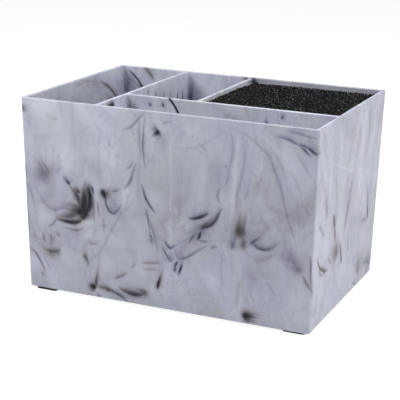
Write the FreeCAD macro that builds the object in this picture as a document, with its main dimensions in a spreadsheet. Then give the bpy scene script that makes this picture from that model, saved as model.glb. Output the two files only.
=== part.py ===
"""Salon tool organizer: a moulded tub of four bays with a lift-out bristle insert.

Millimetres, +Z up. The origin is the middle of the footprint at the underside of
the feet, and the front of the tub faces -Y. Every size is a cell of the sheet
"sizes"; the tub, the tray, the bristles and the feet all take theirs from it.
"""
import FreeCAD, Part
import math
import os
import Sketcher

SIZES = [
    ("tub_width", 200, "outside width at the rim"),
    ("tub_depth", 141, "outside depth, front to back, at the rim"),
    ("wall_height", 128, "underside of the tub up to the rim"),
    ("side_lean", 2.0, "lean of each side wall between rim and underside"),
    ("face_lean", 3.4, "lean of the front and back walls, the same way"),
    ("wall_thick", 2.5, "outer walls"),
    ("floor_thick", 2.5, "floor of the tub"),
    ("rim_corner", 1.0, "outer corner radius at the rim"),
    ("base_corner", 2.5, "outer corner radius at the underside"),
    ("rim_round", 0.6, "round along every top edge"),
    ("base_round", 0.8, "round along the bottom edge"),
    ("divider_thick", 2.4, "dividers at the rim"),
    ("divider_draft", 0.35, "what each divider face gains from rim to underside"),
    ("left_bay_width", 49.4, "clear width of the left bay at the rim"),
    ("front_slot_depth", 39.4, "clear depth of the front slot at the rim"),
    ("middle_bay_width", 48.4, "clear width of the middle bay at the rim"),
    ("bay_corner", 1.6, "upright inner corners"),
    ("bay_floor_round", 1.2, "round where the bay walls meet the floor"),
    ("tray_clearance", 1.2, "tray to bay wall at the floor"),
    ("tray_height", 15, "height of the insert's tray"),
    ("tray_floor", 3, "floor of the tray"),
    ("tray_wall", 2, "collar of the tray"),
    ("tray_corner", 3, "upright corners of the tray"),
    ("tray_edge_round", 1.4, "round along the tray's bottom edge"),
    ("bristle_below_rim", 4.2, "bristle tips below the rim"),
    ("bristle_clearance", 0.3, "bristles to the bay walls"),
    ("bristle_tray_gap", 0.2, "bristles to the inside of the collar"),
    ("bristle_flare", 12, "height over which the bristles spread above the collar"),
    ("bristle_corner", 1.6, "upright corners of the bristle block"),
    ("bristle_tip_bevel", 0.8, "bevel along the edge of the tips"),
    ("foot_size", 15, "side of each square foot"),
    ("foot_thick", 2.2, "height of the feet"),
    ("foot_corner", 2, "upright corners of the feet"),
    ("foot_edge", 0.3, "bevel along the foot's lower edge"),
    ("foot_side_inset", 3.8, "foot to the side edge of the underside"),
    ("left_foot_inset", 2.2, "left feet to the front or back edge"),
    ("right_foot_inset", 3.6, "right feet to the front or back edge"),
]

doc = FreeCAD.newDocument("salon_tool_organizer")


def make_sheet():
    """One row for each driving size: its name, its value and what it means."""
    sheet = doc.addObject("Spreadsheet::Sheet", "sizes")
    for row, (alias, value, meaning) in enumerate(SIZES, start=1):
        sheet.set(f"A{row}", alias)
        sheet.set(f"B{row}", str(value))
        sheet.set(f"C{row}", meaning)
        sheet.setAlias(f"B{row}", alias)
    doc.recompute()
    return sheet


sheet = make_sheet()

# Heights in the tub's own frame, whose zero is the tub's underside.
RIM = "sizes.wall_height"
BAY_FLOOR = "sizes.floor_thick"


def below_rim(height):
    """How far a height of the tub lies below its rim, as a share of the wall."""
    return f"(({RIM} - {height}) / sizes.wall_height)"


def side_face(height, inward="0"):
    """X of the right wall's face at a height, moved in by a thickness."""
    return f"(sizes.tub_width / 2 - sizes.side_lean * {below_rim(height)} - {inward})"


def back_face(height, inward="0"):
    """Y of the back wall's face at a height, moved in by a thickness."""
    return f"(sizes.tub_depth / 2 - sizes.face_lean * {below_rim(height)} - {inward})"


def divider_half(height):
    """Half the thickness of a divider at a height."""
    return f"(sizes.divider_thick / 2 + sizes.divider_draft * {below_rim(height)})"


# Middle planes of the three dividers, each set by the clear bay beside it.
LONG_DIVIDER_X = (f"(-{side_face(RIM, 'sizes.wall_thick')}"
                  " + sizes.left_bay_width + sizes.divider_thick / 2)")
SHORT_DIVIDER_X = f"({LONG_DIVIDER_X} + sizes.middle_bay_width + sizes.divider_thick)"
CROSS_DIVIDER_Y = (f"(-{back_face(RIM, 'sizes.wall_thick')}"
                   " + sizes.front_slot_depth + sizes.divider_thick / 2)")


def bay_sides(bay, height):
    """Left, right, front and back faces of a bay at a height of the tub."""
    half = divider_half(height)
    right_wall = side_face(height, "sizes.wall_thick")
    back_wall = back_face(height, "sizes.wall_thick")
    left_wall = f"(-{right_wall})"
    front_wall = f"(-{back_wall})"
    behind_cross = f"({CROSS_DIVIDER_Y} + {half})"
    sides = {
        "left_bay": (left_wall, f"({LONG_DIVIDER_X} - {half})", front_wall, back_wall),
        "front_slot": (f"({LONG_DIVIDER_X} + {half})", right_wall,
                       front_wall, f"({CROSS_DIVIDER_Y} - {half})"),
        "middle_bay": (f"({LONG_DIVIDER_X} + {half})", f"({SHORT_DIVIDER_X} - {half})",
                       behind_cross, back_wall),
        "bristle_bay": (f"({SHORT_DIVIDER_X} + {half})", right_wall,
                        behind_cross, back_wall),
    }
    return sides[bay]


BAYS = ("left_bay", "front_slot", "middle_bay", "bristle_bay")


def make_body(label, x="0", y="0", z="0"):
    """An empty body, placed by expressions in the part's frame."""
    body = doc.addObject("PartDesign::Body", label)
    body.Label = label
    for axis, place in (("x", x), ("y", y), ("z", z)):
        body.setExpression(f"Placement.Base.{axis}", place)
    return body


def value_of(body, expression):
    """The present value of an expression, used to draw a sketch near its solution."""
    return float(body.evalExpression(expression))


def rounded_rectangle(body, name, width, depth, corner, x="0", y="0", z="0"):
    """A level sketch of a rectangle with round corners, centred on x, y at height z."""
    sketch = body.newObject("Sketcher::SketchObject", name)
    level_plane = next(f for f in body.Origin.OriginFeatures if f.Role == "XY_Plane")
    sketch.AttachmentSupport = [(level_plane, "")]
    sketch.MapMode = "FlatFace"
    for axis, place in (("x", x), ("y", y), ("z", z)):
        sketch.setExpression(f"AttachmentOffset.Base.{axis}", place)

    half_x = value_of(body, width) / 2
    half_y = value_of(body, depth) / 2
    radius = value_of(body, corner)
    in_x = half_x - radius
    in_y = half_y - radius
    point = FreeCAD.Vector
    up = point(0, 0, 1)
    quarter = math.pi / 2

    def line(x1, y1, x2, y2):
        sketch.addGeometry(Part.LineSegment(point(x1, y1, 0), point(x2, y2, 0)))

    def arc(cx, cy, turns):
        circle = Part.Circle(point(cx, cy, 0), up, radius)
        sketch.addGeometry(Part.ArcOfCircle(circle, turns * quarter, (turns + 1) * quarter))

    line(-in_x, -half_y, in_x, -half_y)
    line(half_x, -in_y, half_x, in_y)
    line(in_x, half_y, -in_x, half_y)
    line(-half_x, in_y, -half_x, -in_y)
    arc(in_x, -in_y, 3)
    arc(in_x, in_y, 0)
    arc(-in_x, in_y, 1)
    arc(-in_x, -in_y, 2)

    start, end = 1, 2
    for side in range(4):
        following = (side + 1) % 4
        sketch.addConstraint(Sketcher.Constraint("Tangent", side, end, side + 4, start))
        sketch.addConstraint(Sketcher.Constraint("Tangent", side + 4, end, following, start))
    for side in (0, 2):
        sketch.addConstraint(Sketcher.Constraint("Horizontal", side))
    for side in (1, 3):
        sketch.addConstraint(Sketcher.Constraint("Vertical", side))
    for side in (5, 6, 7):
        sketch.addConstraint(Sketcher.Constraint("Equal", 4, side))
    origin = -1
    sketch.addConstraint(Sketcher.Constraint("Symmetric", 0, start, 2, start, origin, start))
    driven = (
        ("width", Sketcher.Constraint("DistanceX", 3, start, 1, start, 2 * half_x), width),
        ("depth", Sketcher.Constraint("DistanceY", 0, start, 2, start, 2 * half_y), depth),
        ("corner", Sketcher.Constraint("Radius", 4, radius), corner),
    )
    for label, constraint, expression in driven:
        index = sketch.addConstraint(constraint)
        sketch.renameConstraint(index, label)
        sketch.setExpression(f"Constraints.{label}", expression)
    return sketch


def bay_section(body, bay, height, corner, inward="0", name=None):
    """A level sketch of a bay at a height of the tub, drawn in on all sides."""
    left, right, front, back = bay_sides(bay, height)
    return rounded_rectangle(
        body, name or f"{bay}_section", f"({right} - {left} - 2 * {inward})",
        f"({back} - {front} - 2 * {inward})", corner,
        f"(({left} + {right}) / 2)", f"(({front} + {back}) / 2)", height)


def add_loft(body, kind, name, sections):
    """A straight-sided loft through level sections, adding or cutting."""
    doc.recompute()
    loft = body.newObject(f"PartDesign::{kind}", name)
    loft.Profile = sections[0]
    loft.Sections = sections[1:]
    loft.Ruled = True
    doc.recompute()
    return loft


def level_edges(feature, height):
    """Names of the edges of a feature that lie level at a height of its body."""
    tolerance = 1e-4
    names = []
    for index, edge in enumerate(feature.Shape.Edges, start=1):
        box = edge.BoundBox
        if abs(box.ZMin - height) < tolerance and abs(box.ZMax - height) < tolerance:
            names.append(f"Edge{index}")
    return names


def round_edges(body, kind, name, base, height, size, attribute="Radius"):
    """Round or bevel every level edge that lies at a height of the body."""
    edges = level_edges(base, value_of(body, height))
    if not edges:
        raise RuntimeError(f"{name}: no edge at {height}")
    feature = body.newObject(f"PartDesign::{kind}", name)
    feature.Base = (base, edges)
    feature.setExpression(attribute, size)
    doc.recompute()
    return feature


def make_tub():
    """The moulded tub: leaning outer walls, a floor and three dividers in one piece."""
    body = make_body("tub", z="sizes.foot_thick")
    outline = [
        rounded_rectangle(body, "underside_outline", f"(2 * {side_face('0')})",
                          f"(2 * {back_face('0')})", "sizes.base_corner"),
        rounded_rectangle(body, "rim_outline", "sizes.tub_width", "sizes.tub_depth",
                          "sizes.rim_corner", z=RIM),
    ]
    solid = add_loft(body, "AdditiveLoft", "outer_form", outline)
    for bay in BAYS:
        sections = [
            bay_section(body, bay, BAY_FLOOR, "sizes.bay_corner", name=f"{bay}_floor"),
            bay_section(body, bay, RIM, "sizes.bay_corner", name=f"{bay}_mouth"),
        ]
        before = solid.Shape.Volume
        solid = add_loft(body, "SubtractiveLoft", f"{bay}_cut", sections)
        if not solid.Shape.Volume < before:
            raise RuntimeError(f"{bay} cut nothing")
    floor_round = "min(sizes.bay_floor_round; 0.8 * sizes.bay_corner)"
    solid = round_edges(body, "Fillet", "bay_floor_rounds", solid, BAY_FLOOR, floor_round)
    rim_round = ("min(sizes.rim_round; 0.4 * sizes.divider_thick;"
                 " 0.4 * sizes.wall_thick; 0.8 * sizes.rim_corner)")
    solid = round_edges(body, "Fillet", "rim_rounds", solid, RIM, rim_round)
    base_round = "min(sizes.base_round; 0.8 * sizes.base_corner; 0.8 * sizes.floor_thick)"
    body.Tip = round_edges(body, "Fillet", "base_rounds", solid, "0", base_round)
    return body


# The insert's own zero is the floor of the bristle bay.
INSERT_ZERO = "(sizes.foot_thick + sizes.floor_thick)"
TRAY_LEFT, TRAY_RIGHT, TRAY_FRONT, TRAY_BACK = bay_sides("bristle_bay", BAY_FLOOR)
TRAY_X = f"(({TRAY_LEFT} + {TRAY_RIGHT}) / 2)"
TRAY_Y = f"(({TRAY_FRONT} + {TRAY_BACK}) / 2)"
TRAY_WIDTH = f"({TRAY_RIGHT} - {TRAY_LEFT} - 2 * sizes.tray_clearance)"
TRAY_DEPTH = f"({TRAY_BACK} - {TRAY_FRONT} - 2 * sizes.tray_clearance)"


def make_tray():
    """The shallow moulded tray that grips the lower ends of the bristles."""
    body = make_body("bristle_tray", TRAY_X, TRAY_Y, INSERT_ZERO)
    outline = rounded_rectangle(body, "tray_outline", TRAY_WIDTH, TRAY_DEPTH,
                                "sizes.tray_corner")
    block = body.newObject("PartDesign::Pad", "tray_block")
    block.Profile = outline
    block.setExpression("Length", "sizes.tray_height")
    doc.recompute()

    well = rounded_rectangle(
        body, "well_outline", f"({TRAY_WIDTH} - 2 * sizes.tray_wall)",
        f"({TRAY_DEPTH} - 2 * sizes.tray_wall)",
        "max(sizes.tray_corner - sizes.tray_wall; 0.5)", z="sizes.tray_height")
    doc.recompute()
    before = block.Shape.Volume
    cut = body.newObject("PartDesign::Pocket", "tray_well")
    cut.Profile = well
    cut.setExpression("Length", "sizes.tray_height - sizes.tray_floor")
    doc.recompute()
    if not cut.Shape.Volume < before:
        raise RuntimeError("the tray's well cut nothing")
    edge_round = "min(sizes.tray_edge_round; 0.8 * sizes.tray_corner; 0.8 * sizes.tray_floor)"
    body.Tip = round_edges(body, "Fillet", "tray_edge", cut, "0", edge_round)
    return body


def make_bristles():
    """The bristles as one block: gripped in the tray, then spread to fill the bay."""
    tips = f"({RIM} - sizes.bristle_below_rim)"
    collar_top = "(sizes.floor_thick + sizes.tray_height)"
    spread = f"({collar_top} + sizes.bristle_flare)"
    shoulder = f"({tips} - sizes.bristle_tip_bevel)"
    tray_inside = "sizes.tray_wall + sizes.bristle_tray_gap"
    body = make_body("bristle_block", z="sizes.foot_thick")

    def gripped(name, height):
        return rounded_rectangle(
            body, name, f"({TRAY_WIDTH} - 2 * ({tray_inside}))",
            f"({TRAY_DEPTH} - 2 * ({tray_inside}))", "sizes.bristle_corner",
            TRAY_X, TRAY_Y, height)

    sections = [
        gripped("bristle_foot", "(sizes.floor_thick + sizes.tray_floor)"),
        gripped("bristle_neck", collar_top),
        bay_section(body, "bristle_bay", spread, "sizes.bristle_corner",
                    "sizes.bristle_clearance", "bristle_spread"),
        bay_section(body, "bristle_bay", shoulder, "sizes.bristle_corner",
                    "sizes.bristle_clearance", "bristle_shoulder"),
        bay_section(body, "bristle_bay", tips, "sizes.bristle_corner",
                    "(sizes.bristle_clearance + sizes.bristle_tip_bevel)", "bristle_tips"),
    ]
    body.Tip = add_loft(body, "AdditiveLoft", "bristle_form", sections)
    return body


def make_foot(label, across, along):
    """A thin stick-on pad near one corner; across and along are -1 or 1."""
    inset = "sizes.left_foot_inset" if across < 0 else "sizes.right_foot_inset"
    x = f"({across} * ({side_face('0')} - sizes.foot_side_inset - sizes.foot_size / 2))"
    y = f"({along} * ({back_face('0')} - {inset} - sizes.foot_size / 2))"
    body = make_body(label, x, y)
    outline = rounded_rectangle(body, f"{label}_outline", "sizes.foot_size",
                                "sizes.foot_size", "sizes.foot_corner")
    pad = body.newObject("PartDesign::Pad", f"{label}_pad")
    pad.Profile = outline
    pad.setExpression("Length", "sizes.foot_thick")
    doc.recompute()
    edge = "min(sizes.foot_edge; 0.4 * sizes.foot_thick)"
    body.Tip = round_edges(body, "Chamfer", f"{label}_bevel", pad, "0", edge, "Size")
    return body


FEET = {
    "front_left_foot": (-1, -1),
    "front_right_foot": (1, -1),
    "back_left_foot": (-1, 1),
    "back_right_foot": (1, 1),
}


def check(nodes):
    """Stop if any object of the document failed, or a piece is not one sound solid."""
    for thing in doc.Objects:
        if "Invalid" in thing.State or "Error" in thing.State:
            raise RuntimeError(f"{thing.Name} failed: {thing.State}")
    for node in nodes:
        shape = node.Shape
        if shape.isNull() or not shape.isValid() or len(shape.Solids) != 1:
            raise RuntimeError(f"{node.Label} is not one sound solid")


def export(nodes):
    """Write each piece to its own STEP file and print its volume and reach."""
    os.makedirs("parts", exist_ok=True)
    for node in nodes:
        node.Shape.exportStep(f"parts/{node.Label}.step")
        box = node.Shape.BoundBox
        print(f"{node.Label}: {node.Shape.Volume / 1000:.2f} cm3,"
              f" x {box.XMin:.2f} to {box.XMax:.2f},"
              f" y {box.YMin:.2f} to {box.YMax:.2f},"
              f" z {box.ZMin:.2f} to {box.ZMax:.2f}")


pieces = [make_tub(), make_tray(), make_bristles()]
pieces += [make_foot(label, *corner) for label, corner in FEET.items()]
doc.recompute()
check(pieces)
export(pieces)
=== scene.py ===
import math
import random
import bpy
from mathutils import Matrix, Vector, noise


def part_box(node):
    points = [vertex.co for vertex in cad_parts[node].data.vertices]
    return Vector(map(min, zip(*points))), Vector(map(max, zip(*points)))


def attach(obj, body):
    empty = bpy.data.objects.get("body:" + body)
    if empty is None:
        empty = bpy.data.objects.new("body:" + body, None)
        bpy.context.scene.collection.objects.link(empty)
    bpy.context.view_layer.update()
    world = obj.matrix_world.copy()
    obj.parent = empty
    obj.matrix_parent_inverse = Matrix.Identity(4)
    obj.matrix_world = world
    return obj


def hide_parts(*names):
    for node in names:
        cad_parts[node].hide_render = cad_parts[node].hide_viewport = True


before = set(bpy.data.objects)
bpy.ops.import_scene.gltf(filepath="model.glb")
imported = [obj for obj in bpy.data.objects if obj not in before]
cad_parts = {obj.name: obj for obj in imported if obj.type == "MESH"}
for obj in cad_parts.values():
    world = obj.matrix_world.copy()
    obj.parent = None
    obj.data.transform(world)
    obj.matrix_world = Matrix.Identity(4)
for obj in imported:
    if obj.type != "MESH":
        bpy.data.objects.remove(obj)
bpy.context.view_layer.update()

# A salon tool organizer: a marbled plastic tub with three dividers, a lift-out block of
# black bristles in its rear right bay, and four thin rubber feet. Lengths are in metres
# in the row frame; the marbling is drawn in millimetres on the walls.
MM = 0.001
tub_low, tub_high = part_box("tub")
WALL_HEIGHT = (tub_high.z - tub_low.z) / MM
HALF_WIDTH = tub_high.x / MM
HALF_DEPTH = tub_high.y / MM
# What the side walls and the faces lean in from rim to base, and how thick they are
SIDE_LEAN = 2
FACE_LEAN = 3.4
WALL = 2.5
SEED = 11


# Shader graphs

class Graph:
    """A tree of shader nodes. Any value may be a number, a colour or another node's output."""

    def __init__(self, owner):
        """Clears the tree of a material or a world."""
        owner.use_nodes = True
        self.owner = owner
        self.tree = owner.node_tree
        self.tree.nodes.clear()

    def add(self, kind, inputs, output=0, **settings):
        """A new node's output; kind is the node's type without ShaderNode in front."""
        node = self.tree.nodes.new("ShaderNode" + kind)
        for name, value in settings.items():
            setattr(node, name, value)
        for key, value in inputs.items():
            self.feed(node.inputs[key], value)
        return node.outputs[output]

    def feed(self, socket, value):
        if isinstance(value, bpy.types.NodeSocket):
            self.tree.links.new(value, socket)
        else:
            socket.default_value = value

    def use(self, group, *values):
        """The result of a node group for these values."""
        return self.add("Group", dict(enumerate(values)), node_tree=group.tree)

    def math(self, operation, *values, clamp=False):
        inputs = dict(enumerate(values))
        return self.add("Math", inputs, operation=operation, use_clamp=clamp)

    def times(self, first, second, clamp=False):
        return self.math("MULTIPLY", first, second, clamp=clamp)

    def plus(self, first, second, clamp=False):
        return self.math("ADD", first, second, clamp=clamp)

    def minus(self, first, second):
        return self.math("SUBTRACT", first, second)

    def over(self, first, second):
        return self.math("DIVIDE", first, second)

    def larger(self, first, second):
        return self.math("MAXIMUM", first, second)

    def scaled(self, value, factor, offset):
        """The value times the factor, plus the offset."""
        return self.math("MULTIPLY_ADD", value, factor, offset)

    def vector(self, operation, *values, output=0):
        inputs = dict(enumerate(values))
        return self.add("VectorMath", inputs, output, operation=operation)

    def join(self, x, y, z):
        return self.add("CombineXYZ", {0: x, 1: y, 2: z})

    def split(self, vector):
        node = self.add("SeparateXYZ", {0: vector}).node
        return node.outputs[0], node.outputs[1], node.outputs[2]

    def fade(self, value, low, high, start=0, end=1):
        """A smooth step from start, where value is low, to end, where it is high."""
        inputs = {0: value, 1: low, 2: high, 3: start, 4: end}
        return self.add("MapRange", inputs, interpolation_type="SMOOTHSTEP", clamp=False)

    def noise(self, vector, scale, detail=2, roughness=0.5, distortion=0, output=0):
        inputs = {"Vector": vector, "Scale": scale, "Detail": detail, "Roughness": roughness,
                  "Distortion": distortion}
        return self.add("TexNoise", inputs, output)

    def mix(self, share, first, second, how="MIX"):
        inputs = {0: share, 6: first, 7: second}
        return self.add("Mix", inputs, 2, data_type="RGBA", blend_type=how)

    def ramp(self, value, stops):
        """A colour that runs through the stops, which are pairs of place and colour."""
        output = self.add("ValToRGB", {0: value})
        elements = output.node.color_ramp.elements
        while len(elements) < len(stops):
            elements.new(0.5)
        for element, (place, colour) in zip(elements, stops):
            element.position = place
            element.color = (*colour, 1)
        return output

    def bump(self, height, strength, depth):
        """A surface normal for bumps of this depth in millimetres."""
        inputs = {"Strength": strength, "Distance": depth * MM, "Height": height}
        return self.add("Bump", inputs)

    def finish(self, **sockets):
        """A Principled surface whose sockets are given by name, with underscores for spaces."""
        inputs = {name.replace("_", " "): value for name, value in sockets.items()}
        self.add_output(self.add("BsdfPrincipled", inputs))
        return self.owner

    def add_output(self, shader, kind="Material"):
        output = self.tree.nodes.new("ShaderNodeOutput" + kind)
        self.tree.links.new(shader, output.inputs["Surface"])


class Group(Graph):
    """A node group with named inputs and one number as its result."""

    def __init__(self, name, **kinds):
        self.tree = bpy.data.node_groups.new(name, "ShaderNodeTree")
        for socket, kind in kinds.items():
            self.tree.interface.new_socket(socket, in_out="INPUT", socket_type="NodeSocket" + kind)
        self.tree.interface.new_socket("Result", in_out="OUTPUT", socket_type="NodeSocketFloat")
        self.inputs = list(self.tree.nodes.new("NodeGroupInput").outputs)[:len(kinds)]

    def give(self, result):
        output = self.tree.nodes.new("NodeGroupOutput")
        self.tree.links.new(result, output.inputs[0])
        return self


def material_graph(name):
    return Graph(bpy.data.materials.new(name))


def object_position(graph):
    """The surface point in millimetres; a node's object sits at the origin of the frame."""
    coordinates = graph.add("TexCoord", {}, "Object")
    return graph.vector("MULTIPLY", coordinates, (1 / MM, 1 / MM, 1 / MM))


# Marks in the marbling
# Soot is brown-black, ink is blue-black, mist is a thin mauve veil, and milk is paler than the
# plastic. A stroke is (strength, half width, point, point, ...) in millimetres. A pair in place
# of the strength or width gives it at the stroke's two ends. On the front and back walls a point
# is (x, height above the tub's base), on the side walls (y, height).
# Ink also paints shade down the front's left edge and shadows in the inner corners, and milk a
# highlight down the front's right edge.

FRONT_SOOT = [
    # The dark blotch: its sharp lower lip, its crisp right edge and its black heart
    ((0.85, 1), (1, 2), (-77, 49.6), (-70, 48.6), (-63, 48.4), (-58, 50.6), (-55, 54.4)),
    (1, 2.2, (-52.2, 77), (-51.4, 70), (-51.4, 63), (-53.4, 57), (-57.5, 52.5), (-63, 50.6)),
    (1, (3.3, 4.4), (-54.4, 75), (-54.8, 69), (-55, 63), (-56, 58), (-58.5, 54), (-62, 51)),
    (0.75, (1.5, 2.8), (-66.5, 75), (-63, 71.5), (-60, 67), (-58, 61), (-58.5, 56)),
    ((0.4, 0.8), (1.4, 4.2), (-77, 50.8), (-70, 51.6), (-63, 54), (-57, 59)),
    (0.35, 0.9, (-71, 44.5), (-66, 43.4), (-60, 43.8), (-56, 46), (-54, 48)),
    # A smudge near the left edge
    (0.5, 1.6, (-100, 125), (-99, 122), (-98, 118)),
    # Lower left
    (0.4, 1.5, (-87, 36.5), (-84, 32.5)),
    (0.25, 1.2, (-81.5, 37.5), (-79.5, 34.5)),
    (0.25, 1, (-78, 39.5), (-75, 38.5), (-72.5, 36.5)),
    ((0.35, 0.75), (1.1, 1.7), (-89, 30.5), (-85, 27.5), (-80, 26.3), (-75, 27), (-72.5, 29)),
    (0.3, 3, (-86, 26), (-80, 24), (-75, 25.5)),
    (0.45, 0.9, (-98, 29), (-92, 23), (-89, 18), (-87, 13), (-85.8, 9)),
    (0.4, 0.8, (-90.5, 10.5), (-88, 9.2), (-85.8, 9.3)),
    (0.5, 1.5, (-58, 27), (-54.5, 26), (-53, 23.5), (-54.5, 21)),
    (0.25, 0.9, (-53.5, 37.5), (-49, 36.5), (-45.5, 38.5)),
    # Along the foot of the front, and faint lines above it
    (0.5, 1.5, (-48, 8), (-43, 6.8), (-38, 6.2), (-34, 4.5)),
    ((0.7, 0.85), (1.3, 1.6), (-32, 8.9), (-26, 7), (-20, 6.3), (-15, 7), (-11.5, 8.8)),
    (0.35, 1, (-36, 14.5), (-30, 17.5), (-24.5, 20.5)),
    (0.3, 0.7, (-16, 28.3), (-9, 29.2), (-1, 30.8)),
    (0.25, 0.7, (-14.5, 24.3), (-9, 25.4), (-3.5, 26)),
    (0.2, 0.8, (-23, 23.5), (-20, 26.5), (-17.5, 29.5)),
    # Right edge
    (0.4, 1, (92.5, 38.5), (95, 33), (98.5, 28)),
    (0.4, 1, (97, 51), (98, 42), (97.3, 29)),
]
FRONT_INK_AND_SHADE = [
    # The hook beside the blotch
    ((0.85, 0.3), (1.1, 0.8), (-41.5, 70), (-39, 63), (-36.8, 59.8), (-34.6, 58.6), (-32, 60.4),
     (-27, 66.5)),
    # Ticks round it, and lines out to the left edge
    (0.35, 0.8, (-45.5, 67), (-45.8, 61), (-45.3, 55)),
    (0.3, 0.8, (-48.8, 74), (-48.8, 62), (-48, 50)),
    (0.25, 0.8, (-43, 56), (-41.5, 50), (-41.5, 45)),
    (0.35, 0.7, (-76, 50.5), (-78.5, 46), (-83, 43.5)),
    (0.4, 0.8, (-99.5, 87), (-98.5, 81), (-98.3, 74)),
    (0.25, 0.7, (-98.5, 75), (-94, 62), (-92.8, 54)),
    (0.25, 1, (-67, 77), (-62, 77.3)),
    (0.7, 0.9, (-50.2, 76), (-49, 73), (-48.4, 69.5)),
    (0.3, 1.1, (-65, 119.8), (-62.8, 119.2)),
    (0.2, 0.9, (-61, 118.5), (-58.5, 117.3)),
    (0.15, 0.9, (-83, 118.5), (-79, 116.5), (-73, 115.5)),
    # Painted shade down the front's left edge
    (0.95, 1.1, (-99.3, 78), (-99, 44), (-98.4, 6)),
    (0.25, 0.9, (-86.5, 21.5), (-84, 17), (-81.5, 13.5)),
    # The long fan of fine lines left of the middle
    (0.35, 0.8, (-27, 114.3), (-22, 116), (-18, 120), (-13, 126), (-11, 128)),
    (0.25, 0.7, (-26.5, 89.3), (-23, 91), (-19.5, 95.5)),
    (0.35, 1, (-36, 73.6), (-33, 74), (-29.5, 75.2)),
    ((0.6, 0.2), (1.1, 0.8), (-27.5, 75.5), (-24, 80), (-22, 84), (-20, 90), (-17.6, 97)),
    ((0.3, 0.5), 0.7, (-12.2, 126), (-13.2, 112), (-13.3, 101), (-11.8, 91)),
    (0.25, 0.6, (-15.4, 124), (-15.8, 110), (-15, 98)),
    ((0.45, 0.85), (0.7, 0.9), (-14.5, 82), (-12.2, 73), (-9.2, 68), (-5.2, 63.5)),
    (0.45, 0.7, (-12.3, 67), (-10, 56), (-8.5, 50)),
    (0.6, 0.8, (-9, 50), (-8.3, 47.5), (-8, 45)),
    (0.3, 0.7, (-10.5, 61), (-7, 52), (-5, 46), (-2.8, 37.5)),
    (0.2, 0.6, (-1, 121.5), (2, 122.6), (6, 123.2)),
    # Along the foot of the front
    (0.6, 1, (-39, 7), (-33, 4.5), (-28, 2.5), (-24.5, 0.5)),
    (0.4, 1, (-48, 1.2), (-43.5, 0.9)),
    # The W of fine lines and the two ticks under it
    (0.6, 0.7, (0.5, 46.8), (3, 43), (5.5, 41.3), (8, 43), (10.5, 44.6)),
    (0.55, 0.7, (-0.5, 42), (3, 36), (6, 33.8), (8.5, 36)),
    (0.4, 0.6, (7.5, 43.5), (9.5, 39), (11.3, 36), (16, 37), (20, 39.5), (24, 43), (28, 46),
     (31.5, 47.8)),
    (0.7, 0.9, (11.3, 35.5), (9, 31), (8.4, 27)),
    (0.9, 0.8, (14.2, 32.6), (12.5, 29), (10.5, 25)),
    (0.6, 1, (23.2, 16), (25.8, 15)),
    (0.35, 0.7, (31.5, 45.7), (34.5, 46.8), (37.5, 47.2)),
    # The thick brush marks right of the middle, and what drips from them
    (0.9, (0.8, 1.3), (17.5, 62.8), (21, 63.2), (24.5, 64.2), (28, 66), (31.5, 68.4)),
    ((0.95, 0.55), (1.1, 0.9), (23.6, 56.3), (28.3, 58.4), (33.5, 62), (37, 67), (40, 73.5)),
    (0.9, 1, (25.6, 57), (25.2, 53), (23.4, 49.2)),
    (0.4, 0.7, (23.5, 50.3), (27, 49.5), (31.5, 50.2)),
    (0.5, 0.8, (23.5, 54.5), (20.5, 50.5), (17.5, 47)),
    (0.35, 0.8, (38, 86), (36.5, 80), (38.5, 74)),
    # Strokes that leave the top right corner
    (0.5, 0.8, (86, 118), (91, 117), (97, 115.6)),
    ((0.1, 0.7), (1, 0.75), (70, 121.3), (76, 121.1), (81.5, 120), (85.5, 118.3), (89.5, 116.6)),
    (0.6, 0.75, (87.5, 117.3), (91, 114.8), (93.5, 112.9), (95.6, 111.1)),
    (0.75, 0.85, (92, 116.9), (96, 114.4), (100, 112.2)),
    (0.27, 0.7, (79, 125.3), (86, 124), (92, 123.5), (97, 122.5), (100, 122)),
    # The crescent under the brown smear
    ((0.8, 0.25), (1.4, 1), (59.4, 55), (62, 52), (65.5, 50.8), (70, 51.1), (74, 53), (79, 57)),
]
# A comet is (strength, half width, head, tail, flare). It is darkest at its head, and widens by
# the flare, as a share of its width, on the way to its tail; the usual flare is left out. Over 1,
# a greater strength only carries the full darkness further.
FRONT_SOOT_COMETS = [
    # The feathers and the brown side of the dark blotch
    (0.95, 2, (-59, 70), (-68, 79)),
    (0.6, 2.4, (-53.5, 71), (-58, 83)),
    (0.8, 1.5, (-51.5, 72), (-52, 82), 0),
    (1.1, 5.8, (-56, 57), (-84, 57)),
    (1.3, 4.6, (-54.6, 55), (-56.5, 83), -0.1),
    (1.1, 3.2, (-55.5, 52.5), (-63, 65)),
    # The cloud over the hook, and smudges at the left edge, along the foot and in the middle
    (0.7, 2.4, (-40, 70), (-34.5, 79)),
    (0.42, 6.5, (-82, 79), (-98, 97), -0.2),
    (0.5, 3, (-74.5, 26.4), (-90, 29), 0),
    (1.5, 2.5, (-48.4, 6.8), (-58, 10), -0.1),
    (0.9, 1.4, (-38.5, 5.6), (-47, 12)),
    (0.85, 1.4, (-47.5, 8), (-44, 31)),
    (0.7, 2.4, (-12, 8.6), (-33, 10), 0.3),
    (1.2, 1.4, (-3.3, 15), (1.2, 34), 0.5),
    (0.55, 1.9, (27, 58.6), (39.5, 72)),
    # The brown smear on the right, and its right leg
    (0.82, 4.8, (51.8, 57.5), (51.8, 85), -0.1),
    (0.6, 2.6, (54.8, 50.5), (52.5, 70), 0.1),
    # Along the foot on the right, and two soft marks at the lower left
    (1.3, 3.2, (56, 4.6), (72, 7.4)),
    (0.2, 4, (-66, 43), (-46, 34), 0.3),
    (0.5, 1.6, (-54, 24.6), (-61, 30)),
]
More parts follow.
